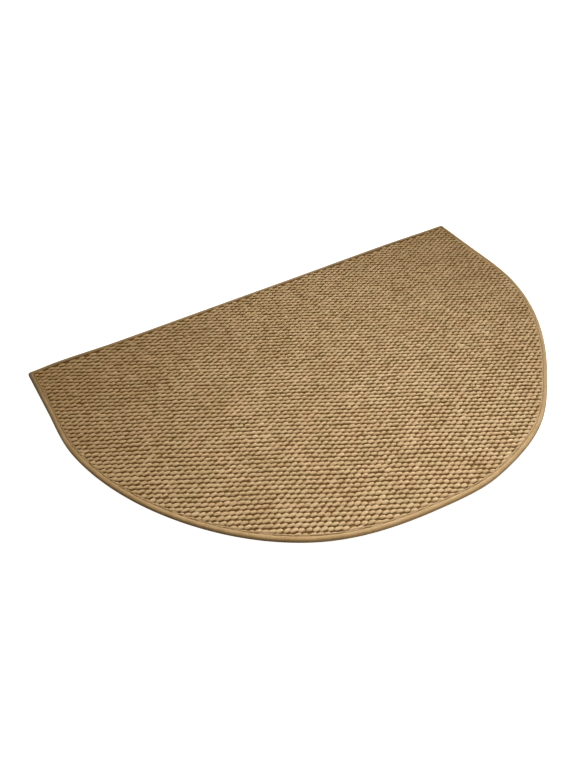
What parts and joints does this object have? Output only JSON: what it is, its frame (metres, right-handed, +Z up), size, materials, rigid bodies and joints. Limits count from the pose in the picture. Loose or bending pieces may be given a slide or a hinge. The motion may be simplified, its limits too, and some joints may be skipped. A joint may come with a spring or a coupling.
{
  "type": "half-round doormat",
  "caption": "Half-round doormat of thick looped weave with an overcast yarn edge, lying flat with its straight edge at the back.",
  "frame": {"origin": "on the floor, at the middle of the bounding box", "axes": "+Z up from the floor; X runs along the straight edge, which is at +Y; the round front points to -Y"},
  "size_m": [0.801, 0.4998, 0.0065],
  "materials": {
    "weave": "matt, coarse looped yarn, tan with dark brown gaps",
    "binding": "matt, tightly wrapped golden tan yarn"
  },
  "bodies": {
    "root": {"woven_mat": "weave", "edge_binding": "binding"}
  },
  "joints": []
}
